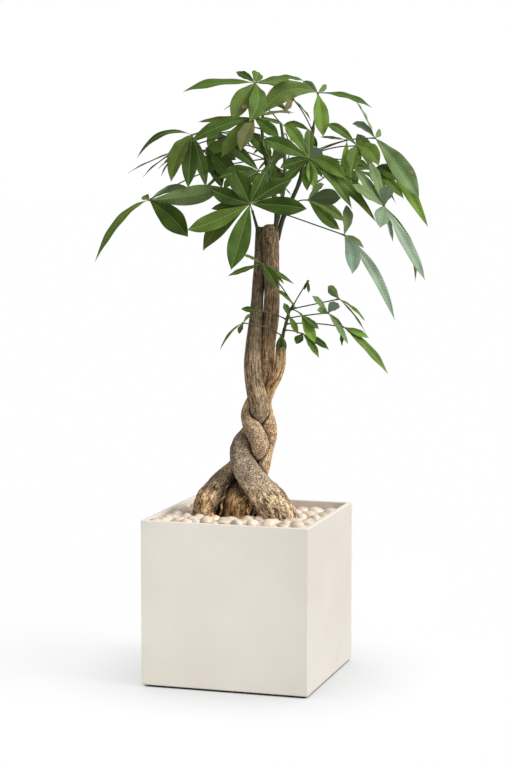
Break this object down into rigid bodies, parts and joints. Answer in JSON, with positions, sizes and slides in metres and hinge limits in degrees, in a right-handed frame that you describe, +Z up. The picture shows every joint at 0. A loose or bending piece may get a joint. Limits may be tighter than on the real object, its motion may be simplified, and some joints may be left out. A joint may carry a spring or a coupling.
{
  "type": "potted money tree",
  "caption": "Braided-stem money tree with palmate leaves, growing in a plain square planter topped with pebbles.",
  "frame": {"origin": "centre of the planter's underside, on the floor it stands on", "axes": "+Z up along the tree, -Y out of the planter's front face, +X to the right as seen from the front"},
  "size_m": [0.7128, 0.5675, 1.4214],
  "materials": {
    "planter": "satin",
    "compost": "matte",
    "pebbles": "satin",
    "bark": "matte",
    "leaf": "satin"
  },
  "bodies": {
    "root": {"planter": "planter", "compost": "compost", "pebble_bed": "pebbles", "stem_left": "bark", "stem_right": "bark", "stem_short": "bark", "shoot_front": "leaf", "shoot_upper_left": "leaf", "shoot_upper_right": "leaf", "shoot_back": "leaf", "shoot_side": "leaf"}
  },
  "joints": []
}
